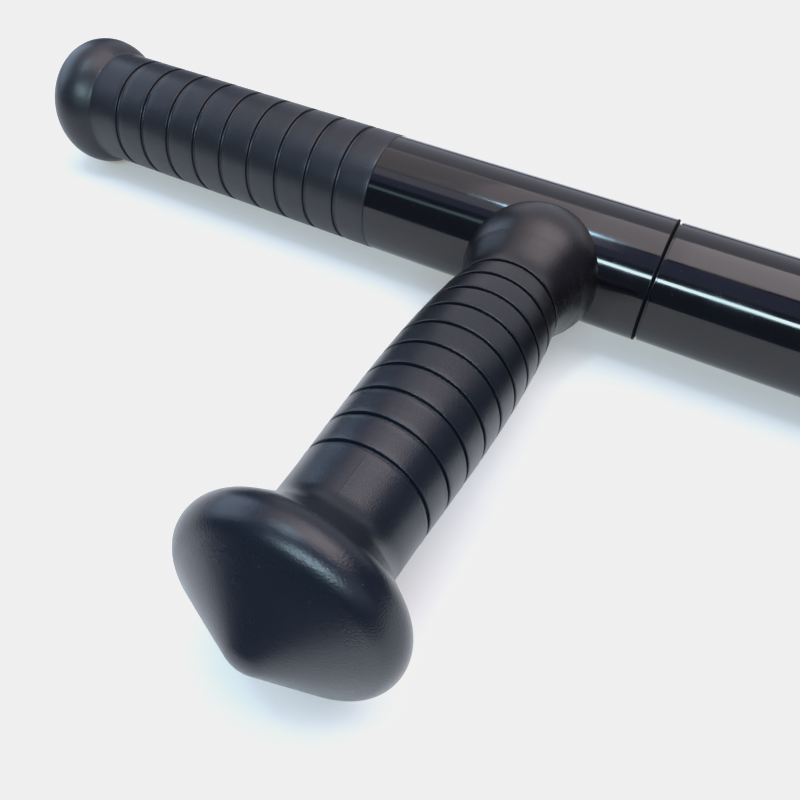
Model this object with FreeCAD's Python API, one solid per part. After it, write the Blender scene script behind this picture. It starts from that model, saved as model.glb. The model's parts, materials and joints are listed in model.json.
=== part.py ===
"""Side-handle baton with a telescoping, twist-locked extension, shown closed and locked.

Pieces are drawn about the point where the barrel axis crosses the side-handle axis. The barrel runs along X
with its tip at +X, and the side handle points along -Y. lay_down() then puts every piece into the row frame,
where the baton lies on the floor at z = 0 on the rims of its rear cap and knob. All sizes are in millimetres.
"""
import FreeCAD
import Part
import math
import os

V = FreeCAD.Vector

# ---- barrel ----
HUB_R = 16.0            # rear tube, between the rear grip and the seam
HUB_SEAT_R = 14.3       # rear tube where the grip is pushed over it
HUB_REAR_X = -150.0
HUB_FRONT_X = 29.0      # the seam with the front barrel
SOCKET_R = 14.5         # threaded socket that takes the front barrel
SOCKET_X = 13.5
FRONT_R = 15.6
FRONT_END_X = 192.0
SEAM_GAP = 0.8          # relief ring beside the seam
SEAM_GAP_R = 15.0
BORE_R = 13.0
EDGE = 0.4              # broken edge on open ends
SEAM_EDGE = 0.15        # sharper edge on both sides of the seam
OVERCUT = 1.0           # how far a cutting tool runs past the face it cuts

# ---- rear grip ----
GRIP_R = 16.1
GRIP_FRONT_X = -48.4
GRIP_GROOVES = 9
GRIP_GROOVE_LAST_X = -57.8
GRIP_GROOVE_PITCH = 9.545
GRIP_GROOVE_W = 1.3
GRIP_GROOVE_DEPTH = 0.8
CAP_CREST_X = -152.0    # widest ring of the flared end
CAP_R = 18.87
CAP_CREST_ROUND = 10.4
CAP_CREASE_ROUND = 1.6
CAP_END_X = -166.1

# ---- side handle, distances y measured outwards from the barrel axis ----
FOOT_R = 17.4           # rounded foot against the barrel
FOOT_Y = 14.5
FOOT_TOP_Y = 22.3
FOOT_START_R = 12.4     # the foot's start, inside the barrel, where the saddle cut removes it
FOOT_START_DEG = 125.0
SWELL = [               # (y, radius) of the swelling grip between the foot and the neck
    (31.0, 13.35), (40.0, 13.95), (50.0, 14.5), (63.0, 14.7), (76.0, 14.4), (90.0, 13.75), (104.0, 12.95),
]
NECK_Y = 113.4
NECK_R = 12.6
NECK_ROUND = 7.0
HANDLE_GROOVES = 10
HANDLE_GROOVE_FIRST_Y = 33.9
HANDLE_GROOVE_PITCH = 7.369
HANDLE_GROOVE_W = 1.0
HANDLE_GROOVE_DEPTH = 0.9
GROOVE_LIP = 0.18       # chamfer on both lips of every groove
KNOB_RIM_Y = 124.04     # centre of the rim's round section
KNOB_RIM_R = 16.15
KNOB_RIM_ROUND = 5.41
KNOB_BACK_DEG = 49.8    # slope of the back of the knob, from the handle axis
KNOB_END_Y = 137.5
KNOB_END_ROUND = 7.67

# ---- core of the side handle ----
SADDLE_R = 12.0
SADDLE_TOP_Y = 23.5
SPIGOT_R = 5.8
ROD_R = 4.0
ROD_FOOT_Y = 15.0
ROD_END_Y = 130.0
ROD_COLLAR_R = 6.0
ROD_COLLARS_Y = [48.0, 72.0, 96.0]
ROD_COLLAR_W = 2.0
WASHER_R = 10.0
WASHER_T = 1.6
WASHER_Y = 120.0
NUT_FLATS = 13.0
NUT_T = 6.5

# ---- rear plug ----
PLUG_FRONT_X = -134.0
BUMPER_FRONT_X = -126.0
BUMPER_R = 12.6
BUMPER_EDGE = 1.5
PLUG_PIN_X = -142.0
PIN_R = 1.5
PIN_BORE_R = 0.75

# ---- mouth of the front barrel ----
BUSH_REAR_X = 146.0
BUSH_R = 14.2
BUSH_LIP_R = 15.3
BUSH_LIP_T = 1.5
BUSH_LIP_EDGE = 0.6
RUNNING = 0.05          # radial clearance of every running fit
WIPER_X = 186.0
WIPER_SECTION_R = 0.62
WIPER_GROOVE_R = 13.8
WIPER_GROOVE_W = 1.7
WIPER_CLEAR = 0.03

# ---- extension ----
TUBE_R = 12.5
TUBE_BORE_R = 10.9
TRAVEL = 241.3
END_GAP = 0.2
TIP_R = 15.3
TIP_END_X = 202.2
TIP_SPIGOT = 16.0
TIP_ROUND = 3.0
TIP_REAR_EDGE = 0.3
TIP_PIN_X = 181.0
GLIDE_LENGTH = 10.0
GLIDE_JOURNAL_R = 9.0
CAM_SPIGOT = 20.0
CAM_PIN_BACK = 10.0     # cam pin, measured forward from the end of the tube
CAM_SHOULDER_R = 11.5
CAM_SHOULDER_T = 3.0
CAM_JOURNAL_R = 6.0
CAM_JOURNAL_L = 12.0
CAM_OFFSET = 1.2
SHOE_R = 12.56
LOCK_TURN_DEG = 20.0
LOCK_MID_DEG = 90.0     # direction of the cam's offset halfway through its turn, from +Y towards +Z
CAM_WASHER_R = 9.0
CAM_WASHER_T = 1.2
SCREW_R = 2.5
SCREW_HEAD_R = 4.75
SCREW_HEAD_T = 2.6
SCREW_DEPTH = 14.0
SCREW_KEY_FLATS = 3.0
SCREW_KEY_DEPTH = 1.6

# ---- places worked out from the above ----
TUBE_REAR_X = BUSH_REAR_X - END_GAP - TRAVEL
SHOULDER_X = TUBE_REAR_X - GLIDE_LENGTH - 2 * RUNNING
CAM_X = SHOULDER_X - CAM_SHOULDER_T
CAM_END_X = CAM_X - CAM_JOURNAL_L
TIP_REAR_X = FRONT_END_X + BUSH_LIP_T + END_GAP


def line(start, end):
    return Part.LineSegment(V(start[0], start[1], 0), V(end[0], end[1], 0)).toShape()


def arc(start, middle, end):
    return Part.Arc(V(start[0], start[1], 0), V(middle[0], middle[1], 0), V(end[0], end[1], 0)).toShape()


def polar(centre, radius, degrees):
    turn = math.radians(degrees)
    return (centre[0] + radius * math.cos(turn), centre[1] + radius * math.sin(turn))


def arc_about(centre, radius, start_deg, end_deg):
    """Arc in the (distance, radius) plane, angles from the +distance direction."""
    return arc(*[polar(centre, radius, turn) for turn in (start_deg, (start_deg + end_deg) / 2, end_deg)])


def rounded_path(corners):
    """Open path of lines through (distance, radius, round) corners, with an arc at each rounded corner."""
    edges = []
    here = corners[0][:2]
    for before, corner, after in zip(corners, corners[1:], corners[2:]):
        a = V(before[0] - corner[0], before[1] - corner[1], 0).normalize()
        b = V(after[0] - corner[0], after[1] - corner[1], 0).normalize()
        at = V(corner[0], corner[1], 0)
        if corner[2] > 0:
            half = a.getAngle(b) / 2
            reach = corner[2] / math.tan(half)
            first = at + a * reach
            last = at + b * reach
            middle = at + (a + b).normalize() * (corner[2] / math.sin(half) - corner[2])
            edges.append(line(here, (first.x, first.y)))
            edges.append(Part.Arc(first, middle, last).toShape())
            here = (last.x, last.y)
        else:
            edges.append(line(here, corner))
            here = corner[:2]
    edges.append(line(here, corners[-1]))
    return edges


def turned(edges):
    """Solid of revolution about X from a closed chain of edges in the (distance, radius) plane."""
    wire = Part.Wire(Part.__sortEdges__(edges))
    return Part.Face(wire).revolve(V(0, 0, 0), V(1, 0, 0), 360)


def turned_corners(corners):
    """Solid of revolution from a closed outline of (distance, radius[, round]) corners."""
    full = [(c[0], c[1], c[2] if len(c) > 2 else 0) for c in corners]
    return turned(rounded_path([full[0]] + full[1:] + [full[0]]))


def rod(x0, x1, radius):
    return Part.makeCylinder(radius, x1 - x0, V(x0, 0, 0), V(1, 0, 0))


def tube(x0, x1, outer, inner):
    return rod(x0, x1, outer).cut(rod(x0, x1, inner))


def groove_ring(distance, surface_r, width, depth):
    """Tool that cuts one groove with chamfered lips into a surface of the given radius."""
    half = width / 2
    return turned_corners([
        (distance - half - GROOVE_LIP - OVERCUT, surface_r + OVERCUT),
        (distance - half, surface_r - GROOVE_LIP),
        (distance - half, surface_r - depth),
        (distance + half, surface_r - depth),
        (distance + half, surface_r - GROOVE_LIP),
        (distance + half + GROOVE_LIP + OVERCUT, surface_r + OVERCUT),
    ])


def to_handle(shape):
    """Turn a piece drawn along X so that it points along the side handle."""
    shape.rotate(V(0, 0, 0), V(0, 0, 1), -90)
    return shape


def cross_pin(x, reach):
    """Roll pin across the barrel axis, its ends flush with a cylinder of the given radius."""
    pin = Part.makeCylinder(PIN_R, 2 * reach, V(x, 0, -reach), V(0, 0, 1))
    return pin.common(rod(x - 2 * PIN_R, x + 2 * PIN_R, reach))


def hollow_pin(pin, x, reach):
    return pin.cut(Part.makeCylinder(PIN_BORE_R, 2 * reach, V(x, 0, -reach), V(0, 0, 1)))


# ---- pieces fixed to the barrel ----
def hub_tube():
    body = turned_corners([
        (HUB_REAR_X, BORE_R), (HUB_REAR_X, HUB_SEAT_R), (GRIP_FRONT_X, HUB_SEAT_R), (GRIP_FRONT_X, HUB_R),
        (HUB_FRONT_X, HUB_R, SEAM_EDGE), (HUB_FRONT_X, SOCKET_R), (SOCKET_X, SOCKET_R), (SOCKET_X, BORE_R),
    ])
    spigot_hole = to_handle(rod(0, HUB_R + OVERCUT, SPIGOT_R))
    return body.cut(spigot_hole).cut(cross_pin(PLUG_PIN_X, HUB_SEAT_R))


def front_barrel():
    return turned_corners([
        (SOCKET_X, BORE_R), (SOCKET_X, SOCKET_R), (HUB_FRONT_X, SOCKET_R), (HUB_FRONT_X, SEAM_GAP_R),
        (HUB_FRONT_X + SEAM_GAP, SEAM_GAP_R), (HUB_FRONT_X + SEAM_GAP, FRONT_R, SEAM_EDGE),
        (FRONT_END_X, FRONT_R, EDGE), (FRONT_END_X, BUSH_R), (BUSH_REAR_X, BUSH_R), (BUSH_REAR_X, BORE_R),
    ])


def mouth_bush():
    inner = TUBE_R + RUNNING
    half = WIPER_GROOVE_W / 2
    lip_x = FRONT_END_X + BUSH_LIP_T
    return turned_corners([
        (BUSH_REAR_X, inner), (BUSH_REAR_X, BUSH_R), (FRONT_END_X, BUSH_R), (FRONT_END_X, BUSH_LIP_R),
        (lip_x, BUSH_LIP_R, BUSH_LIP_EDGE), (lip_x, inner),
        (WIPER_X + half, inner), (WIPER_X + half, WIPER_GROOVE_R),
        (WIPER_X - half, WIPER_GROOVE_R), (WIPER_X - half, inner),
    ])


def mouth_wiper():
    ring_r = TUBE_R + WIPER_CLEAR + WIPER_SECTION_R
    return Part.makeTorus(ring_r, WIPER_SECTION_R, V(WIPER_X, 0, 0), V(1, 0, 0))


def rear_grip_skin():
    """Outside of the rear grip: straight body, crease, flared crest and shallow domed end."""
    crest = (CAP_CREST_X, CAP_R - CAP_CREST_ROUND)
    reach = CAP_CREST_ROUND + CAP_CREASE_ROUND
    rise = GRIP_R + CAP_CREASE_ROUND - crest[1]
    crease = (crest[0] + math.sqrt(reach ** 2 - rise ** 2), GRIP_R + CAP_CREASE_ROUND)
    crease_deg = math.degrees(math.atan2(crease[1] - crest[1], crease[0] - crest[0]))
    inset = CAP_CREST_X - CAP_END_X
    dome_r = (inset ** 2 + crest[1] ** 2 - CAP_CREST_ROUND ** 2) / (2 * (inset - CAP_CREST_ROUND))
    dome = (CAP_END_X + dome_r, 0)
    dome_deg = math.degrees(math.atan2(crest[1] - dome[1], crest[0] - dome[0]))
    seat = (CAP_END_X, 0)
    return [
        line((GRIP_FRONT_X, 0), (GRIP_FRONT_X, GRIP_R - EDGE)),
        arc_about((GRIP_FRONT_X - EDGE, GRIP_R - EDGE), EDGE, 0, 90),
        line((GRIP_FRONT_X - EDGE, GRIP_R), (crease[0], GRIP_R)),
        arc_about(crease, CAP_CREASE_ROUND, 270, 180 + crease_deg),
        arc_about(crest, CAP_CREST_ROUND, crease_deg, dome_deg),
        arc_about(dome, dome_r, dome_deg, 180),
        line(seat, (GRIP_FRONT_X, 0)),
    ]


def rear_grip():
    grip = turned(rear_grip_skin()).cut(rod(HUB_REAR_X, GRIP_FRONT_X + OVERCUT, HUB_SEAT_R))
    for i in range(GRIP_GROOVES):
        x = GRIP_GROOVE_LAST_X - i * GRIP_GROOVE_PITCH
        grip = grip.cut(groove_ring(x, GRIP_R, GRIP_GROOVE_W, GRIP_GROOVE_DEPTH))
    return grip


def rear_plug():
    return rod(HUB_REAR_X, PLUG_FRONT_X, BORE_R).cut(cross_pin(PLUG_PIN_X, HUB_SEAT_R))


def plug_pin():
    return hollow_pin(cross_pin(PLUG_PIN_X, HUB_SEAT_R), PLUG_PIN_X, HUB_SEAT_R)


def rear_bumper():
    return turned_corners([
        (PLUG_FRONT_X, 0), (PLUG_FRONT_X, BUMPER_R),
        (BUMPER_FRONT_X, BUMPER_R, BUMPER_EDGE), (BUMPER_FRONT_X, 0),
    ])


# ---- side handle ----
def saddle_boss():
    block = to_handle(rod(0, SADDLE_TOP_Y, SADDLE_R)).cut(rod(-2 * SADDLE_R, 2 * SADDLE_R, HUB_R))
    spigot = to_handle(rod(0, HUB_R + OVERCUT, SPIGOT_R)).cut(rod(-2 * SPIGOT_R, 2 * SPIGOT_R, BORE_R))
    socket = to_handle(rod(ROD_FOOT_Y, SADDLE_TOP_Y + OVERCUT, ROD_R))
    return block.fuse(spigot).cut(socket).removeSplitter()


def handle_rod():
    core = rod(ROD_FOOT_Y, ROD_END_Y, ROD_R)
    for y in ROD_COLLARS_Y:
        core = core.fuse(rod(y - ROD_COLLAR_W / 2, y + ROD_COLLAR_W / 2, ROD_COLLAR_R))
    return to_handle(core.removeSplitter())


def rod_washer():
    return to_handle(tube(WASHER_Y, WASHER_Y + WASHER_T, WASHER_R, ROD_R))


def hexagon(x0, x1, flats):
    corner_r = flats / math.sqrt(3)
    points = [V(x0, *polar((0, 0), corner_r, 60 * i)) for i in range(7)]
    return Part.Face(Part.makePolygon(points)).extrude(V(x1 - x0, 0, 0))


def rod_nut():
    start = WASHER_Y + WASHER_T
    return to_handle(hexagon(start, start + NUT_T, NUT_FLATS).cut(rod(start, start + NUT_T, ROD_R)))


def knob_arcs():
    """Centres of the knob's rim arc and tip arc, and the direction in which the cone between them faces."""
    rim = (KNOB_RIM_Y, KNOB_RIM_R)
    tip = (KNOB_END_Y - KNOB_END_ROUND, 0)
    gap = math.hypot(rim[0] - tip[0], rim[1] - tip[1])
    toward = math.atan2(tip[1] - rim[1], tip[0] - rim[0])
    normal_deg = math.degrees(toward + math.acos((KNOB_RIM_ROUND - KNOB_END_ROUND) / gap))
    return rim, tip, normal_deg


def side_handle_skin():
    """Outside of the side handle: rounded foot, swelling grip, neck and mushroom knob with a conical end."""
    foot = (FOOT_Y, 0)
    foot_end_deg = math.degrees(math.acos((FOOT_TOP_Y - FOOT_Y) / FOOT_R))
    foot_end = polar(foot, FOOT_R, foot_end_deg)
    leave = V(foot_end[1], foot[0] - foot_end[0], 0).normalize()
    last = SWELL[-1]
    arrive = V(NECK_Y - last[0], NECK_R - last[1], 0).normalize()
    swell = Part.BSplineCurve()
    points = [V(foot_end[0], foot_end[1], 0)] + [V(y, r, 0) for y, r in SWELL]
    swell.interpolate(points, InitialTangent=leave, FinalTangent=arrive)
    rim, tip, front_deg = knob_arcs()
    back_deg = 90 + KNOB_BACK_DEG
    rim_back = polar(rim, KNOB_RIM_ROUND, back_deg)
    rim_front = polar(rim, KNOB_RIM_ROUND, front_deg)
    tip_edge = polar(tip, KNOB_END_ROUND, front_deg)
    neck = rounded_path([(*last, 0), (NECK_Y, NECK_R, NECK_ROUND), (*rim_back, 0)])
    return [
        line((0, 0), (0, FOOT_START_R)),
        line((0, FOOT_START_R), polar(foot, FOOT_R, FOOT_START_DEG)),
        arc_about(foot, FOOT_R, FOOT_START_DEG, foot_end_deg),
        swell.toShape(),
    ] + neck + [
        arc_about(rim, KNOB_RIM_ROUND, back_deg, front_deg),
        line(rim_front, tip_edge),
        arc_about(tip, KNOB_END_ROUND, front_deg, 0),
        line((KNOB_END_Y, 0), (0, 0)),
    ]


def swell_radius(y):
    """Radius of the grip's swell at y, by straight interpolation between its stations."""
    for (y0, r0), (y1, r1) in zip(SWELL, SWELL[1:]):
        if y0 <= y <= y1:
            return r0 + (r1 - r0) * (y - y0) / (y1 - y0)
    return SWELL[-1][1]


def side_handle():
    grip = turned(side_handle_skin())
    for i in range(HANDLE_GROOVES):
        y = HANDLE_GROOVE_FIRST_Y + i * HANDLE_GROOVE_PITCH
        grip = grip.cut(groove_ring(y, swell_radius(y), HANDLE_GROOVE_W, HANDLE_GROOVE_DEPTH))
    grip = to_handle(grip).cut(rod(-2 * HUB_R, 2 * HUB_R, HUB_R))
    for piece in (saddle_boss(), handle_rod(), rod_washer(), rod_nut()):
        grip = grip.cut(piece)
    return grip


# ---- extension ----
def extension_tube():
    body = tube(TUBE_REAR_X, TIP_REAR_X, TUBE_R, TUBE_BORE_R)
    return body.cut(cross_pin(TIP_PIN_X, TUBE_R)).cut(cross_pin(TUBE_REAR_X + CAM_PIN_BACK, TUBE_R))


def tip_cap():
    cap = turned_corners([
        (TIP_REAR_X - TIP_SPIGOT, 0), (TIP_REAR_X - TIP_SPIGOT, TUBE_BORE_R), (TIP_REAR_X, TUBE_BORE_R),
        (TIP_REAR_X, TIP_R, TIP_REAR_EDGE), (TIP_END_X, TIP_R, TIP_ROUND), (TIP_END_X, 0),
    ])
    return cap.cut(cross_pin(TIP_PIN_X, TUBE_R))


def tip_pin():
    return hollow_pin(cross_pin(TIP_PIN_X, TUBE_R), TIP_PIN_X, TUBE_R)


def cam_direction(turn_deg):
    """Offset of the cam journal's axis when the extension has turned by turn_deg from locked."""
    angle = math.radians(LOCK_MID_DEG - LOCK_TURN_DEG / 2 + turn_deg)
    return V(0, CAM_OFFSET * math.cos(angle), CAM_OFFSET * math.sin(angle))


def moved(shape, offset):
    shape.translate(offset)
    return shape


def cam_plug():
    spigot = rod(TUBE_REAR_X, TUBE_REAR_X + CAM_SPIGOT, TUBE_BORE_R)
    journal = rod(SHOULDER_X, TUBE_REAR_X, GLIDE_JOURNAL_R)
    shoulder = rod(CAM_X, SHOULDER_X, CAM_SHOULDER_R)
    cam = moved(rod(CAM_END_X, CAM_X, CAM_JOURNAL_R), cam_direction(0))
    hole = moved(rod(CAM_END_X - OVERCUT, CAM_END_X + SCREW_DEPTH, SCREW_R), cam_direction(0))
    body = spigot.fuse([journal, shoulder, cam]).removeSplitter()
    return body.cut(hole).cut(cross_pin(TUBE_REAR_X + CAM_PIN_BACK, TUBE_R))


def cam_pin():
    x = TUBE_REAR_X + CAM_PIN_BACK
    return hollow_pin(cross_pin(x, TUBE_R), x, TUBE_R)


def cam_washer():
    return moved(tube(CAM_END_X - CAM_WASHER_T, CAM_END_X, CAM_WASHER_R, SCREW_R), cam_direction(0))


def cam_screw():
    head_x = CAM_END_X - CAM_WASHER_T
    head = rod(head_x - SCREW_HEAD_T, head_x, SCREW_HEAD_R)
    key = hexagon(head_x - SCREW_HEAD_T, head_x - SCREW_HEAD_T + SCREW_KEY_DEPTH, SCREW_KEY_FLATS)
    shank = rod(head_x, CAM_END_X + SCREW_DEPTH, SCREW_R)
    return moved(head.cut(key).fuse(shank).removeSplitter(), cam_direction(0))


def glide_ring():
    return turned_corners([
        (SHOULDER_X + RUNNING, GLIDE_JOURNAL_R + RUNNING), (SHOULDER_X + RUNNING, BORE_R - RUNNING, EDGE),
        (TUBE_REAR_X - RUNNING, BORE_R - RUNNING, EDGE), (TUBE_REAR_X - RUNNING, GLIDE_JOURNAL_R + RUNNING),
    ])


def lock_shoe():
    """Ring on the cam journal. Its bore is off its centre by the cam's offset: centred when unlocked."""
    ring = rod(CAM_END_X + RUNNING, CAM_X - RUNNING, SHOE_R)
    bore = moved(rod(CAM_END_X, CAM_X, CAM_JOURNAL_R + RUNNING), cam_direction(LOCK_TURN_DEG))
    return moved(ring.cut(bore), cam_direction(0) - cam_direction(LOCK_TURN_DEG))


PIECES = [
    hub_tube, front_barrel, mouth_bush, mouth_wiper, rear_grip, rear_plug, plug_pin, rear_bumper,
    saddle_boss, handle_rod, rod_washer, rod_nut, side_handle,
    extension_tube, tip_cap, tip_pin, cam_plug, cam_pin, cam_washer, cam_screw, glide_ring, lock_shoe,
]


def lift_angle():
    """Angle of the side handle above level when the rear cap and the knob both touch the floor."""
    reach = math.hypot(KNOB_RIM_R, KNOB_RIM_Y)
    return math.acos((CAP_R - KNOB_RIM_ROUND) / reach) - math.atan2(KNOB_RIM_Y, KNOB_RIM_R)


def lay_down(shape):
    """Roll the baton about its barrel until it rests on the floor, and centre its footprint on the origin."""
    lift = lift_angle()
    knob_y = -(KNOB_END_Y - KNOB_END_ROUND) * math.cos(lift) - KNOB_END_ROUND
    shape.rotate(V(0, 0, 0), V(1, 0, 0), -math.degrees(lift))
    shape.translate(V(-(CAP_END_X + TIP_END_X) / 2, -(CAP_R + knob_y) / 2, CAP_R))
    return shape


os.makedirs("parts", exist_ok=True)
for piece in PIECES:
    solid = lay_down(piece())
    box = solid.BoundBox
    print(piece.__name__, solid.isValid(), round(solid.Volume, 1), box)
    solid.exportStep("parts/" + piece.__name__ + ".step")
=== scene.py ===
"""Looks of the side-handle baton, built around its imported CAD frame, in metres in the row frame."""
import json
import math

import bmesh
import bpy
from mathutils import Matrix, Vector

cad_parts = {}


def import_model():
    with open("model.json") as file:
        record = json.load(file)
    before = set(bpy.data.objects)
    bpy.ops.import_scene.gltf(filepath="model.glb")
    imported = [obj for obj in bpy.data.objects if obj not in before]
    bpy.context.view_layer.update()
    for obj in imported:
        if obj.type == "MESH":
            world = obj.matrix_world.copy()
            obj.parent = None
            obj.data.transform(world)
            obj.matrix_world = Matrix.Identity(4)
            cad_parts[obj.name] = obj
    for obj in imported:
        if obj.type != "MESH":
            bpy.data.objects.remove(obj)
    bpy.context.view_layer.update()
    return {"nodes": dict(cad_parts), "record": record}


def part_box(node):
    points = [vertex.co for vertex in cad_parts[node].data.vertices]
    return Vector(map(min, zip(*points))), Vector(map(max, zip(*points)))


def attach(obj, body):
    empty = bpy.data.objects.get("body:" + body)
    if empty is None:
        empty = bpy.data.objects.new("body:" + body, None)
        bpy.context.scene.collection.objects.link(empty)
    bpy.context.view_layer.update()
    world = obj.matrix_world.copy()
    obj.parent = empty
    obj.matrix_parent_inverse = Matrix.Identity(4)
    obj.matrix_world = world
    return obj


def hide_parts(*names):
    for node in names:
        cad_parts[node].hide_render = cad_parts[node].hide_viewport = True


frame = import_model()
nodes = frame["nodes"]

MM = 0.001
SEGMENTS = 192

# ---- studio: levels are linear, glows are red, green and blue radiances ----
PAPER = 0.865           # level at which the paper burns out
KNEE = 0.82             # where the tone curve starts to flatten
ROOM = (0.10, 0.125, 0.18)
FLOOR_GLOW = (0.225, 0.215, 0.19)
FLOOR_REACH = 1.4       # to the sides and behind
FLOOR_NEAR = -0.12      # the paper ends here in front, so that the front of the baton mirrors the dim room
OVERHEAD_RIGHT = 1.5
OVERHEAD_Y = 0.46
OVERHEAD_DEPTH = 1.8
OVERHEAD_Z = 2.0
OVERHEAD_GAP = 0.01
OVERHEAD = [            # left edge and added glow of each layer of the overhead softbox
    (-1.40, (1.30, 1.15, 1.18)),
    (-0.65, (0.9, 0.8, 0.84)),
    (-0.35, (0.55, 0.48, 0.5)),
    (-0.05, (0.8, 0.72, 0.74)),
]
LAMPS = [               # name, place, aim, size, glow
    ("overhead_front", (-0.8, -0.75, 1.95), (-0.8, -0.75, 0.0), (1.1, 0.6), (0.9, 0.85, 0.85)),
    ("front_high", (0.0, -1.05, 1.9), (0.0, 0.0, 0.0), (3.0, 1.0), (0.25, 0.28, 0.5)),
    ("strip", (0.30, -1.35, 0.98), (0.30, 0.05, 0.02), (1.24, 0.15), (21.0, 29.0, 33.0)),
    ("strip_left", (-0.62, -1.35, 0.98), (-0.62, 0.05, 0.02), (0.6, 0.15), (1.0, 1.5, 1.8)),
    ("high", (-0.40, -0.38, 1.9), (-0.02, -0.12, 0.02), (0.24, 0.24), (15.0, 26.0, 34.0)),
    ("left", (-1.9, 0.12, 0.9), (0, 0.0, 0), (2.2, 1.4), (1.4, 1.75, 2.25)),
    ("front_right", (1.45, -1.0, 1.0), (0, 0, 0), (1.7, 1.2), (0.40, 0.50, 0.62)),
    ("behind", (0.0, 2.2, 1.5), (0, 0.2, 0.6), (3.6, 2.6), (0.70, 0.68, 0.76)),
]

# ---- camera ----
CAMERA_LENS = 34.41     # on a sensor 36 wide
CAMERA_SENSOR = 36.0
CAMERA_NEAR = 0.005
CAMERA_FROM_CROSS = (39.65 * MM, -175.91 * MM, 111.34 * MM)
CAMERA_AZIMUTH = math.radians(24.278)
CAMERA_DOWN = math.radians(44.529)
CAMERA_ROLL = math.radians(-5.096)

# ---- barrel, from the frame ----
HUB_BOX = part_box("hub_tube")
GRIP_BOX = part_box("rear_grip")
SEAM_X = HUB_BOX[1].x
AXIS = (HUB_BOX[0] + HUB_BOX[1]) / 2
HUB_R = 16.0 * MM
SEAM_PAINTED_SHADE = (0.3 * MM, 0.55 * MM)      # how far the painted shade in the seam's gap reaches, full and faded
CROSS_X = SEAM_X - 29.0 * MM        # where the side handle's axis meets the barrel's
CROSS = Vector((CROSS_X, AXIS.y, AXIS.z))

# ---- rear grip ----
GRIP_R = 16.1 * MM
GRIP_SEAT_R = 14.3 * MM
GRIP_GROOVES = 9
GRIP_PITCH = 9.545 * MM
GRIP_GROOVE_X = CROSS_X - 57.8 * MM
GRIP_GROOVE_W = 1.3 * MM
GRIP_GROOVE_DEPTH = 0.8 * MM
CAP_R = 18.87 * MM
CAP_ROUND = 10.4 * MM
CAP_CREASE = 1.6 * MM
CAP_CREST_X = CROSS_X - 152.0 * MM
GRIP_BORE_END_X = CROSS_X - 150.0 * MM
GRIP_EDGE = 0.5 * MM
GRIP_BODY_STEPS = 60

# ---- side handle, distances outwards from the barrel axis ----
FOOT_R = 17.4 * MM
FOOT_Y = 14.5 * MM
FOOT_TOP_Y = 22.3 * MM
FOOT_START = math.radians(125)
ROOT_R = 8 * MM
SWELL = [               # distance and radius in mm, before the neck
    (31.0, 13.35), (40.0, 13.95), (50.0, 14.5), (63.0, 14.7), (76.0, 14.4), (90.0, 13.75), (104.0, 12.95),
]
NECK = (113.4 * MM, 12.6 * MM)
NECK_ROUND = 7.0 * MM
HANDLE_GROOVES = 10
HANDLE_GROOVE_Y = 33.9 * MM
HANDLE_PITCH = 7.369 * MM
HANDLE_GROOVE_W = 1.0 * MM
HANDLE_GROOVE_DEPTH = 0.9 * MM
RIM = (124.04 * MM, 16.15 * MM)
RIM_ROUND = 5.41 * MM
KNOB_BACK = math.radians(49.8)
KNOB_END_Y = 137.5 * MM
KNOB_END_ROUND = 7.67 * MM
LIP = 0.22 * MM
MOULD_LINE_TURN = math.radians(86)      # 90 degrees is the top of the handle
MOULD_LINE_START = 1.5 * MM             # beyond the last groove
MOULD_LINE_HEIGHT = 0.03 * MM
MOULD_LINE_WIDTH = 0.009                # radians
MOULD_LINE_STEP = 0.006                 # radians between the mesh lines that draw it
PAINTED_WARM_LIGHT_TO = 30 * MM                   # where the painted warm cast of light on the moulding starts to give way to a painted cool cast, and where the cool cast is full
PAINTED_COOL_LIGHT_FROM = 100 * MM
POLISH = (2.0 * MM, 8.0 * MM)           # how far the polish on the knob's rim reaches, full and faded
SADDLE_REACH = 3 * HUB_R
SADDLE_BORE = 0.5 * MM
SADDLE_EDGE = 0.1 * MM
LIFT = math.acos((CAP_R - RIM_ROUND) / math.hypot(*RIM)) - math.atan2(RIM[0], RIM[1])


# ---- outlines: lists of (distance along the axis, radius) ----
def arc(centre, radius, start, end, steps):
    """Points of an arc; angles from the axis direction, in radians."""
    turns = [start + (end - start) * i / steps for i in range(steps + 1)]
    return [(centre[0] + radius * math.cos(t), centre[1] + radius * math.sin(t)) for t in turns]


def fillet(before, corner, after, radius, steps=8):
    """Points of the arc that rounds a corner of an outline."""
    at = Vector(corner)
    a = (Vector(before) - at).normalized()
    b = (Vector(after) - at).normalized()
    half = a.angle(b) / 2
    centre = at + (a + b).normalized() * (radius / math.sin(half))
    first = at + a * (radius / math.tan(half)) - centre
    last = at + b * (radius / math.tan(half)) - centre
    sweep = first.angle_signed(last)
    points = []
    for i in range(steps + 1):
        turned = first.copy()
        turned.rotate(Matrix.Rotation(-sweep * i / steps, 2))
        points.append(tuple(centre + turned))
    return points


def groove(at, radius, width, depth):
    """Points of one groove: rounded lips, steep walls and a rounded floor."""
    half = width / 2
    left = arc((at - half - LIP, radius - LIP), LIP, math.pi / 2, 0, 5)
    right = arc((at + half + LIP, radius - LIP), LIP, math.pi, math.pi / 2, 5)
    floor = half * 0.6
    low_left = arc((at - half + floor, radius - depth + floor), floor, math.pi, 1.5 * math.pi, 4)
    low_right = arc((at + half - floor, radius - depth + floor), floor, 1.5 * math.pi, 2 * math.pi, 4)
    return left + low_left + low_right + right


def catmull_rom(t, a, b, c, d):
    """Value at t between b and c, with a before them and d after."""
    square = (2 * a - 5 * b + 4 * c - d) * t * t
    cube = (3 * b - a - 3 * c + d) * t ** 3
    return 0.5 * (2 * b + (c - a) * t + square + cube)


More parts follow.
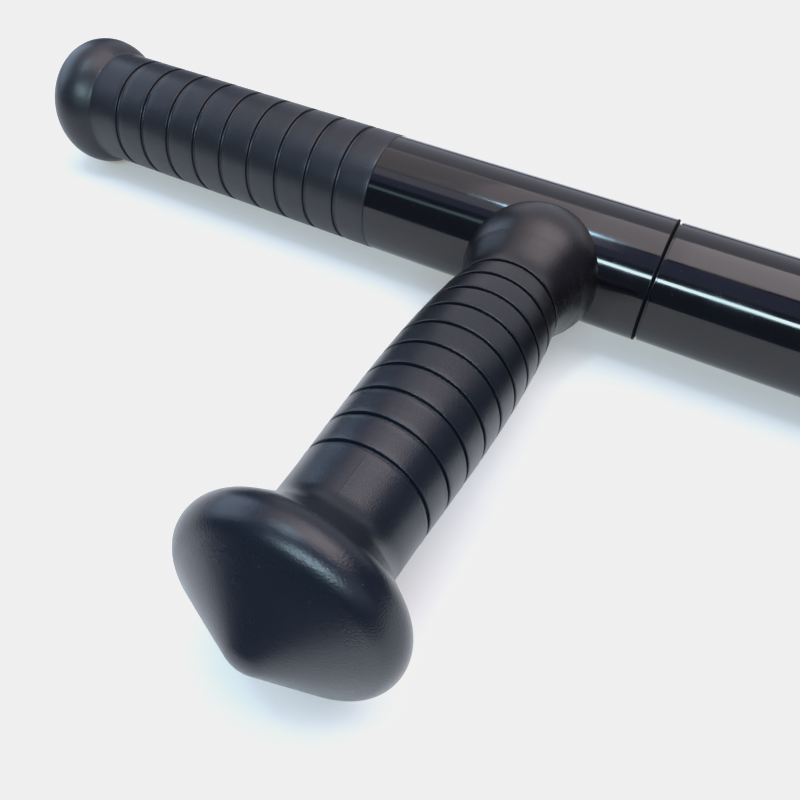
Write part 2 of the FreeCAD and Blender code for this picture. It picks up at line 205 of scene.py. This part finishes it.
def smooth_curve(stations, steps):
    """Catmull-Rom curve through stations, with the ends repeated."""
    full = [stations[0]] + list(stations) + [stations[-1]]
    points = []
    for p0, p1, p2, p3 in zip(full, full[1:], full[2:], full[3:]):
        for i in range(steps):
            t = i / steps
            points.append(tuple(catmull_rom(t, *values) for values in zip(p0, p1, p2, p3)))
    return points + [stations[-1]]


def radius_at(outline, distance):
    for (d0, r0), (d1, r1) in zip(outline, outline[1:]):
        if d0 <= distance <= d1 and d1 > d0:
            return r0 + (r1 - r0) * (distance - d0) / (d1 - d0)
    return outline[-1][1]


def with_grooves(outline, centres, width, depth):
    """Outline with grooves let into it; its points under a groove give way to the groove's own."""
    reach = width / 2 + LIP
    result = [p for p in outline if all(abs(p[0] - c) > reach * 1.2 for c in centres)]
    for c in centres:
        cut = groove(c, radius_at(outline, c), width, depth)
        index = next(i for i, p in enumerate(result) if p[0] > c)
        result[index:index] = cut
    return result


# ---- meshes ----
def lathe(name, outline, place, closed=False, ridge=None):
    """Mesh turned from an outline about +X, then placed. A point on the axis becomes one pole.

    closed joins the outline's ends, for a hollow piece.
    ridge is the angle, first and last distance and height of a mould line.
    """
    mesh = bpy.data.meshes.new(name)
    bm = bmesh.new()
    angles = [2 * math.pi * i / SEGMENTS for i in range(SEGMENTS)]
    if ridge:
        angles = sorted(angles + [ridge[0] + step * MOULD_LINE_STEP for step in range(-3, 4)])
    rings = []
    for d, r in outline:
        if r < 1e-9:
            rings.append([bm.verts.new((d, 0, 0))])
            continue
        ring = []
        for angle in angles:
            radius = r
            if ridge and ridge[1] < d < ridge[2]:
                radius += ridge[3] * math.exp(-((angle - ridge[0]) / MOULD_LINE_WIDTH) ** 2)
            ring.append(bm.verts.new((d, radius * math.cos(angle), radius * math.sin(angle))))
        rings.append(ring)
    pairs = list(zip(rings, rings[1:]))
    if closed:
        pairs.append((rings[-1], rings[0]))
    count = len(angles)
    for low, high in pairs:
        for i in range(count):
            j = (i + 1) % count
            corners = [low[i % len(low)], low[j % len(low)], high[j % len(high)], high[i % len(high)]]
            unique = list(dict.fromkeys(corners))
            if len(unique) > 2:
                bm.faces.new(unique)
    bmesh.ops.recalc_face_normals(bm, faces=bm.faces)
    bm.to_mesh(mesh)
    bm.free()
    mesh.transform(place)
    return add(name, mesh)


def add(name, mesh):
    obj = bpy.data.objects.new(name, mesh)
    bpy.context.scene.collection.objects.link(obj)
    smooth(mesh)
    return obj


def smooth(mesh, degrees=38):
    for face in mesh.polygons:
        face.use_smooth = True
    mesh.set_sharp_from_angle(angle=math.radians(degrees))


def cut_with(obj, tool):
    """Cut tool's solid out of obj, and leave no modifier behind."""
    boolean = obj.modifiers.new("cut", "BOOLEAN")
    boolean.operation = "DIFFERENCE"
    boolean.solver = "EXACT"
    boolean.object = tool
    bpy.context.view_layer.update()
    result = bpy.data.meshes.new_from_object(obj.evaluated_get(bpy.context.evaluated_depsgraph_get()))
    obj.modifiers.clear()
    obj.data = result
    bpy.data.objects.remove(tool)
    smooth(obj.data)


ON_BARREL = Matrix.Translation((0, AXIS.y, AXIS.z))
ON_HANDLE = Matrix.Translation(CROSS) @ Matrix.Rotation(-LIFT, 4, "X") @ Matrix.Rotation(-math.pi / 2, 4, "Z")


def bevelled_tube(name, x0, x1, outer, inner, edge, place):
    """Tube with rounded outer ends."""
    start = arc((x0 + edge, outer - edge), edge, math.pi, math.pi / 2, 5)
    end = arc((x1 - edge, outer - edge), edge, math.pi / 2, 0, 5)
    return lathe(name, [(x0, inner)] + start + end + [(x1, inner)], place, closed=True)


def rear_grip():
    crest = (CAP_CREST_X, CAP_R - CAP_ROUND)
    reach = CAP_ROUND + CAP_CREASE
    rise = GRIP_R + CAP_CREASE - crest[1]
    crease = (crest[0] + math.sqrt(reach ** 2 - rise ** 2), GRIP_R + CAP_CREASE)
    lean = math.atan2(crease[1] - crest[1], crease[0] - crest[0])
    inset = CAP_CREST_X - GRIP_BOX[0].x
    dome_r = (inset ** 2 + crest[1] ** 2 - CAP_ROUND ** 2) / (2 * (inset - CAP_ROUND))
    dome = (GRIP_BOX[0].x + dome_r, 0)
    meet = math.atan2(crest[1], crest[0] - dome[0])
    front = GRIP_BOX[1].x
    step = (front - GRIP_EDGE - crease[0]) / GRIP_BODY_STEPS
    body = [(front - i * step - GRIP_EDGE, GRIP_R) for i in range(1, GRIP_BODY_STEPS)]
    skin = arc(dome, dome_r, math.pi, meet, 24)[:-1] + arc(crest, CAP_ROUND, meet, lean, 40)
    skin += arc(crease, CAP_CREASE, math.pi + lean, 1.5 * math.pi, 8)[1:]
    skin += body[::-1] + arc((front - GRIP_EDGE, GRIP_R - GRIP_EDGE), GRIP_EDGE, math.pi / 2, 0, 5)
    grooves = [GRIP_GROOVE_X - i * GRIP_PITCH for i in range(GRIP_GROOVES)][::-1]
    skin = with_grooves(skin, grooves, GRIP_GROOVE_W, GRIP_GROOVE_DEPTH)
    skin[0] = (skin[0][0], 0)
    inside = [(front, GRIP_SEAT_R), (GRIP_BORE_END_X, GRIP_SEAT_R), (GRIP_BORE_END_X, 0)]
    return lathe("rear_grip_moulding", skin + inside, ON_BARREL)


def side_handle():
    foot_top = (FOOT_TOP_Y, math.sqrt(FOOT_R ** 2 - (FOOT_TOP_Y - FOOT_Y) ** 2))
    foot_angle = math.atan2(foot_top[1], FOOT_TOP_Y - FOOT_Y)
    tip = (KNOB_END_Y - KNOB_END_ROUND, 0)
    toward = math.atan2(tip[1] - RIM[1], tip[0] - RIM[0])
    front = toward + math.acos((RIM_ROUND - KNOB_END_ROUND) / math.hypot(RIM[0] - tip[0], RIM[1] - tip[1]))
    back = math.pi / 2 + KNOB_BACK
    rim_arc = arc(RIM, RIM_ROUND, back, front, 40)
    stations = [(y * MM, r * MM) for y, r in SWELL]
    grip = smooth_curve([foot_top] + stations, 16)
    neck = fillet(stations[-1], NECK, rim_arc[0], NECK_ROUND, 16)
    cone_end = arc(tip, KNOB_END_ROUND, front, 0, 16)
    cone = [tuple(Vector(rim_arc[-1]).lerp(Vector(cone_end[0]), i / 12)) for i in range(1, 12)]
    back_slope = [tuple(Vector(neck[-1]).lerp(Vector(rim_arc[0]), i / 6)) for i in range(1, 6)]
    plain = [tuple(Vector(stations[-1]).lerp(Vector(neck[0]), i / 6)) for i in range(1, 6)]
    skin = [(0, 0), (0, ROOT_R)] + arc((FOOT_Y, 0), FOOT_R, FOOT_START, foot_angle, 24)[:-1]
    skin += grip + plain + neck + back_slope + rim_arc + cone + cone_end
    skin[-1] = (skin[-1][0], 0)
    grooves = [HANDLE_GROOVE_Y + i * HANDLE_PITCH for i in range(HANDLE_GROOVES)]
    skin = with_grooves(skin, grooves, HANDLE_GROOVE_W, HANDLE_GROOVE_DEPTH)
    ridge = (MOULD_LINE_TURN, grooves[-1] + MOULD_LINE_START, NECK[0], MOULD_LINE_HEIGHT)
    obj = lathe("side_handle_moulding", skin, ON_HANDLE, ridge=ridge)
    ends = (CROSS_X - SADDLE_REACH, CROSS_X + SADDLE_REACH)
    tool = bevelled_tube("saddle_tool", *ends, HUB_R, SADDLE_BORE, SADDLE_EDGE, ON_BARREL)
    cut_with(obj, tool)
    return obj


# ---- materials ----
class Nodes:
    """Short hand for building one material's node tree around a Principled shader."""

    def __init__(self, name, **sockets):
        self.material = bpy.data.materials.new(name)
        self.material.use_nodes = True
        self.tree = self.material.node_tree
        self.shader = self.tree.nodes["Principled BSDF"]
        self.place = self.tree.nodes.new("ShaderNodeTexCoord").outputs["Object"]
        for key, value in sockets.items():
            self.shader.inputs[key.replace("_", " ")].default_value = value

    def link(self, source, target):
        self.tree.links.new(source, target)

    def stretched(self, scale, turn=(0, 0, 0)):
        mapping = self.tree.nodes.new("ShaderNodeMapping")
        mapping.inputs["Scale"].default_value = scale
        mapping.inputs["Rotation"].default_value = turn
        self.link(self.place, mapping.inputs["Vector"])
        return mapping.outputs["Vector"]

    def noise(self, scale, detail=3.0, rough=0.5, vector=None):
        node = self.tree.nodes.new("ShaderNodeTexNoise")
        node.inputs["Scale"].default_value = scale
        node.inputs["Detail"].default_value = detail
        node.inputs["Roughness"].default_value = rough
        self.link(vector or self.place, node.inputs["Vector"])
        return node.outputs["Fac"]

    def cells(self, scale, vector=None):
        node = self.tree.nodes.new("ShaderNodeTexVoronoi")
        node.inputs["Scale"].default_value = scale
        self.link(vector or self.place, node.inputs["Vector"])
        return node.outputs["Distance"]

    def along(self, axis):
        parts = self.tree.nodes.new("ShaderNodeSeparateXYZ")
        self.link(self.place, parts.inputs["Vector"])
        return parts.outputs[axis]

    def near(self, axis, place, inner, outer):
        """1 within inner of a place along an axis, fading to 0 at outer."""
        gap = self.math("ABSOLUTE", self.math("SUBTRACT", self.along(axis), place), 0.0)
        return self.remap(gap, inner, outer, 1.0, 0.0)

    def remap(self, value, low, high, to_low=0.0, to_high=1.0):
        node = self.tree.nodes.new("ShaderNodeMapRange")
        node.inputs["From Min"].default_value = low
        node.inputs["From Max"].default_value = high
        node.inputs["To Min"].default_value = to_low
        node.inputs["To Max"].default_value = to_high
        self.link(value, node.inputs["Value"])
        return node.outputs["Result"]

    def math(self, operation, a, b):
        node = self.tree.nodes.new("ShaderNodeMath")
        node.operation = operation
        for index, value in enumerate((a, b)):
            if isinstance(value, (int, float)):
                node.inputs[index].default_value = value
            else:
                self.link(value, node.inputs[index])
        return node.outputs["Value"]

    def mix(self, factor, a, b):
        """Colour a where factor is 0, b where it is 1; each is a colour or a socket."""
        node = self.tree.nodes.new("ShaderNodeMix")
        node.data_type = "RGBA"
        self.link(factor, node.inputs["Factor"])
        for name, value in (("A", a), ("B", b)):
            socket = [s for s in node.inputs if s.name == name and s.type == "RGBA"][0]
            if isinstance(value, tuple):
                socket.default_value = (*value, 1)
            else:
                self.link(value, socket)
        return [s for s in node.outputs if s.type == "RGBA"][0]

    def bump(self, height, distance, strength=1.0, under=None):
        node = self.tree.nodes.new("ShaderNodeBump")
        node.inputs["Distance"].default_value = distance
        node.inputs["Strength"].default_value = strength
        self.link(height, node.inputs["Height"])
        if under:
            self.link(under, node.inputs["Normal"])
        return node.outputs["Normal"]

    def finish(self, colour=None, roughness=None, normal=None):
        for name, value in (("Base Color", colour), ("Roughness", roughness), ("Normal", normal)):
            if value:
                self.link(value, self.shader.inputs[name])
        return self.material


def gloss_black():
    """Glossy black anodised tube: faint drawn lines and waviness, handling haze, dust specks, and painted
    shade at the seam, where reflection is turned off.
    """
    n = Nodes("gloss_black", IOR=1.5, Specular_IOR_Level=0.5)
    haze = n.noise(60, 4, 0.6)
    dust = n.remap(n.noise(2600, 1, 0.4), 0.74, 0.80)
    drawn = n.noise(260, 4, 0.65, n.stretched((0.04, 1, 1)))
    scratches = n.noise(900, 2, 0.5, n.stretched((0.03, 1, 1), (0, 0.2, 0.15)))
    fine = n.remap(scratches, 0.62, 0.75)
    colour = n.mix(dust, (0.002, 0.002, 0.003), (0.03, 0.033, 0.036))
    rough = n.math("ADD", n.remap(haze, 0.35, 0.7, 0.08, 0.14), n.math("MULTIPLY", fine, 0.06))
    wave = n.bump(drawn, 0.00003, 0.3, n.bump(n.noise(160, 2, 0.4), 0.00002, 0.35))
    # painted shade: along the seam the tube loses its reflection and goes dull black, standing in for the
    # shadow in the gap between the tubes
    seam_shade_mask = n.near(0, SEAM_X, *SEAM_PAINTED_SHADE)
    n.link(n.math("SUBTRACT", 0.5, n.math("MULTIPLY", seam_shade_mask, 0.45)), n.shader.inputs["Specular IOR Level"])
    return n.finish(colour, n.math("ADD", rough, n.math("MULTIPLY", seam_shade_mask, 0.5)), wave)


def grip_rubber():
    """Moulded rubber: fine pebble grain, softly worn patches and pale dust on the outside."""
    n = Nodes("grip_rubber", IOR=1.48, Specular_IOR_Level=0.5)
    worn = n.noise(70, 4, 0.6)
    grain = n.noise(1500, 3, 0.6)
    dust = n.remap(n.noise(1900, 2, 0.5), 0.70, 0.80)
    base = n.mix(n.remap(worn, 0.3, 0.75), (0.004, 0.005, 0.008), (0.009, 0.010, 0.014))
    colour = n.mix(dust, base, (0.06, 0.07, 0.08))
    rough = n.remap(worn, 0.3, 0.7, 0.42, 0.33)
    normal = n.bump(grain, 0.00006, 0.55, n.bump(n.cells(700), 0.00004, 0.25))
    return n.finish(colour, rough, normal)


def handle_plastic():
    """Spark-textured moulded plastic: glittering grain, rubbed rings, small specks, a polished rim, and a
    painted warm-to-cool cast of light along it.
    """
    n = Nodes("handle_plastic", IOR=1.5, Specular_IOR_Level=0.5)
    worn = n.noise(55, 4, 0.6)
    spark = n.noise(3200, 2, 0.6)
    turn = n.stretched((1, 26, 1))
    rubbed = n.remap(n.noise(90, 3, 0.6, turn), 0.60, 0.78)
    specks = n.remap(n.cells(420), 0.05, 0.02)
    # painted light: the base colour runs from a warm cast near the barrel to a cool bluish cast out at the
    # knob, standing in for warm overhead and cool side light
    painted_light_tint = n.remap(n.along(1), CROSS.y - PAINTED_WARM_LIGHT_TO, CROSS.y - PAINTED_COOL_LIGHT_FROM)
    base = n.mix(painted_light_tint, (0.004, 0.003, 0.0035), (0.005, 0.0075, 0.013))
    colour = n.mix(n.math("MULTIPLY", specks, 0.5), base, (0.12, 0.13, 0.14))
    rough = n.math("ADD", n.remap(worn, 0.3, 0.7, 0.33, 0.26), n.math("MULTIPLY", rubbed, -0.05))
    polish = n.near(1, CROSS.y - RIM[0], *POLISH)
    rough = n.math("SUBTRACT", rough, n.math("MULTIPLY", polish, 0.06))
    normal = n.bump(spark, 0.00006, 0.85, n.bump(n.noise(900, 2, 0.5), 0.00003, 0.3))
    return n.finish(colour, rough, normal)


def anodised():
    """Satin black anodised tube with fine drawn lines along it."""
    n = Nodes("black_anodised", Metallic=0.6, IOR=1.5)
    drawn = n.noise(1200, 3, 0.6, n.stretched((0.02, 1, 1)))
    colour = n.mix(n.remap(drawn, 0.3, 0.7), (0.016, 0.016, 0.018), (0.034, 0.034, 0.038))
    return n.finish(colour, n.remap(drawn, 0.3, 0.7, 0.24, 0.36), n.bump(drawn, 0.00001, 0.5))


def acetal():
    """Hard black plastic with a smooth moulded skin."""
    n = Nodes("black_acetal", IOR=1.48)
    skin = n.noise(350, 3, 0.5)
    fine = n.noise(2200, 2, 0.5)
    colour = n.mix(n.remap(skin, 0.3, 0.7), (0.010, 0.010, 0.012), (0.020, 0.020, 0.023))
    return n.finish(colour, n.remap(skin, 0.3, 0.7, 0.30, 0.40), n.bump(fine, 0.00002, 0.4))


def turned_metal(name, dark, light, rough):
    """Machined metal with fine turning marks and slight tarnish."""
    n = Nodes(name, Metallic=1.0)
    marks = n.noise(1800, 2, 0.5, n.stretched((1, 0.1, 0.1)))
    tarnish = n.noise(120, 4, 0.6)
    colour = n.mix(n.remap(tarnish, 0.35, 0.7), light, dark)
    return n.finish(colour, n.remap(marks, 0.3, 0.7, rough - 0.06, rough + 0.08), n.bump(marks, 0.00001, 0.5))


def soft_rubber():
    """Plain black seal rubber with a slight bloom."""
    n = Nodes("seal_rubber", IOR=1.45)
    bloom = n.noise(260, 4, 0.6)
    colour = n.mix(n.remap(bloom, 0.35, 0.7), (0.010, 0.010, 0.010), (0.022, 0.022, 0.023))
    return n.finish(colour, n.remap(bloom, 0.3, 0.7, 0.55, 0.7), n.bump(n.noise(1500), 0.00003, 0.4))


def nylon():
    """Natural nylon: milky, faintly mottled."""
    n = Nodes("natural_nylon", IOR=1.5, Subsurface_Weight=0.1)
    mottled = n.noise(300, 3, 0.6)
    colour = n.mix(n.remap(mottled, 0.3, 0.7), (0.66, 0.63, 0.54), (0.74, 0.72, 0.65))
    return n.finish(colour, n.remap(mottled, 0.3, 0.7, 0.35, 0.45), n.bump(n.noise(1800), 0.00002, 0.4))


MATERIALS = {
    "gloss_barrel": gloss_black(),
    "rear_grip": grip_rubber(),
    "handle_moulding": handle_plastic(),
    "black_anodised": anodised(),
    "steel": turned_metal("steel", (0.36, 0.36, 0.37), (0.56, 0.57, 0.58), 0.28),
    "brass": turned_metal("brass", (0.48, 0.33, 0.13), (0.72, 0.55, 0.26), 0.26),
    "acetal": acetal(),
    "seal_rubber": soft_rubber(),
    "shoe_nylon": nylon(),
}


def dress(obj, slot):
    obj.data.materials.clear()
    obj.data.materials.append(MATERIALS[slot])


def dress_frame():
    """Give every CAD node the material of its slot in the record."""
    for part in frame["record"]["subparts"]:
        dress(nodes[part["node"]], part["material_slot"])


def place_piece(obj, body, node, slot):
    dress(obj, slot)
    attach(obj, body)
    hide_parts(node)


# ---- studio ----
def lamp(name, place, aim, size, glow):
    """Rectangular softbox, lit on its face and not seen by the camera itself."""
    light = bpy.data.lights.new(name, "AREA")
    light.shape = "RECTANGLE"
    light.size, light.size_y = size
    light.energy = max(glow) * math.pi * size[0] * size[1]
    light.color = [value / max(glow) for value in glow]
    obj = bpy.data.objects.new(name, light)
    bpy.context.scene.collection.objects.link(obj)
    obj.location = place
    obj.rotation_euler = (Vector(aim) - Vector(place)).to_track_quat("-Z", "Y").to_euler()
    obj.visible_camera = False
    return obj


def studio():
    """Warm softbox overhead that fades to the left, narrow cool lamps in front, and the rest of LAMPS."""
    for number, (left_edge, glow) in enumerate(OVERHEAD):
        middle = (left_edge + OVERHEAD_RIGHT) / 2
        size = (OVERHEAD_RIGHT - left_edge, OVERHEAD_DEPTH)
        place = (middle, OVERHEAD_Y, OVERHEAD_Z + OVERHEAD_GAP * number)
        lamp("overhead_%d" % number, place, (middle, OVERHEAD_Y, 0.0), size, glow)
    for name, place, aim, size, glow in LAMPS:
        lamp(name, place, aim, size, glow)


def world():
    """Dim cool room, plain and burnt out where the camera sees it."""
    scene_world = bpy.data.worlds.new("room")
    bpy.context.scene.world = scene_world
    scene_world.use_nodes = True
    tree = scene_world.node_tree
    mix = tree.nodes.new("ShaderNodeMix")
    mix.data_type = "RGBA"
    mix.inputs[6].default_value = (*ROOM, 1)
    mix.inputs[7].default_value = (1, 1, 1, 1)
    path = tree.nodes.new("ShaderNodeLightPath")
    tree.links.new(path.outputs["Is Camera Ray"], mix.inputs["Factor"])
    tree.links.new(mix.outputs[2], tree.nodes["Background"].inputs["Color"])


def floor():
    """Plain pale paper, faintly lit from below."""
    mesh = bpy.data.meshes.new("floor")
    reach, near = FLOOR_REACH, FLOOR_NEAR
    corners = [(-reach, near, 0), (reach, near, 0), (reach, reach, 0), (-reach, reach, 0)]
    mesh.from_pydata(corners, [], [(0, 1, 2, 3)])
    obj = bpy.data.objects.new("floor", mesh)
    bpy.context.scene.collection.objects.link(obj)
    n = Nodes("floor", Roughness=0.8, Specular_IOR_Level=0.1, Emission_Color=(*FLOOR_GLOW, 1),
              Emission_Strength=1.0)
    obj.data.materials.append(n.finish(n.mix(n.noise(30, 2), (0.69, 0.69, 0.69), (0.70, 0.70, 0.70))))


def film():
    """Standard tone curve, flat above the paper's level so that the lit paper stays one even pale grey."""
    settings = bpy.context.scene.view_settings
    settings.view_transform = "Standard"
    settings.use_curve_mapping = True
    curves = settings.curve_mapping
    curves.extend = "HORIZONTAL"
    points = curves.curves[3].points
    points[1].location = (1.0, PAPER)
    for level in (0.25, 0.5, 0.75, KNEE):
        points.new(level, level)
    points.new(PAPER + (PAPER - KNEE), PAPER)
    curves.update()


def camera():
    """Camera close above the side handle's knob, looking back along the baton."""
    data = bpy.data.cameras.new("camera")
    data.lens = CAMERA_LENS
    data.sensor_width = CAMERA_SENSOR
    data.clip_start = CAMERA_NEAR
    obj = bpy.data.objects.new("camera", data)
    bpy.context.scene.collection.objects.link(obj)
    level = math.cos(CAMERA_DOWN)
    left, forward = math.sin(CAMERA_AZIMUTH) * level, math.cos(CAMERA_AZIMUTH) * level
    ahead = Vector((-left, forward, -math.sin(CAMERA_DOWN)))
    obj.location = CROSS + Vector(CAMERA_FROM_CROSS)
    upright = ahead.to_track_quat("-Z", "Y").to_matrix()
    obj.rotation_euler = (Matrix.Rotation(CAMERA_ROLL, 3, ahead) @ upright).to_euler()
    bpy.context.scene.camera = obj


film()
camera()
world()
studio()
floor()
dress_frame()
place_piece(rear_grip(), "barrel", "rear_grip", "rear_grip")
place_piece(side_handle(), "barrel", "side_handle", "handle_moulding")
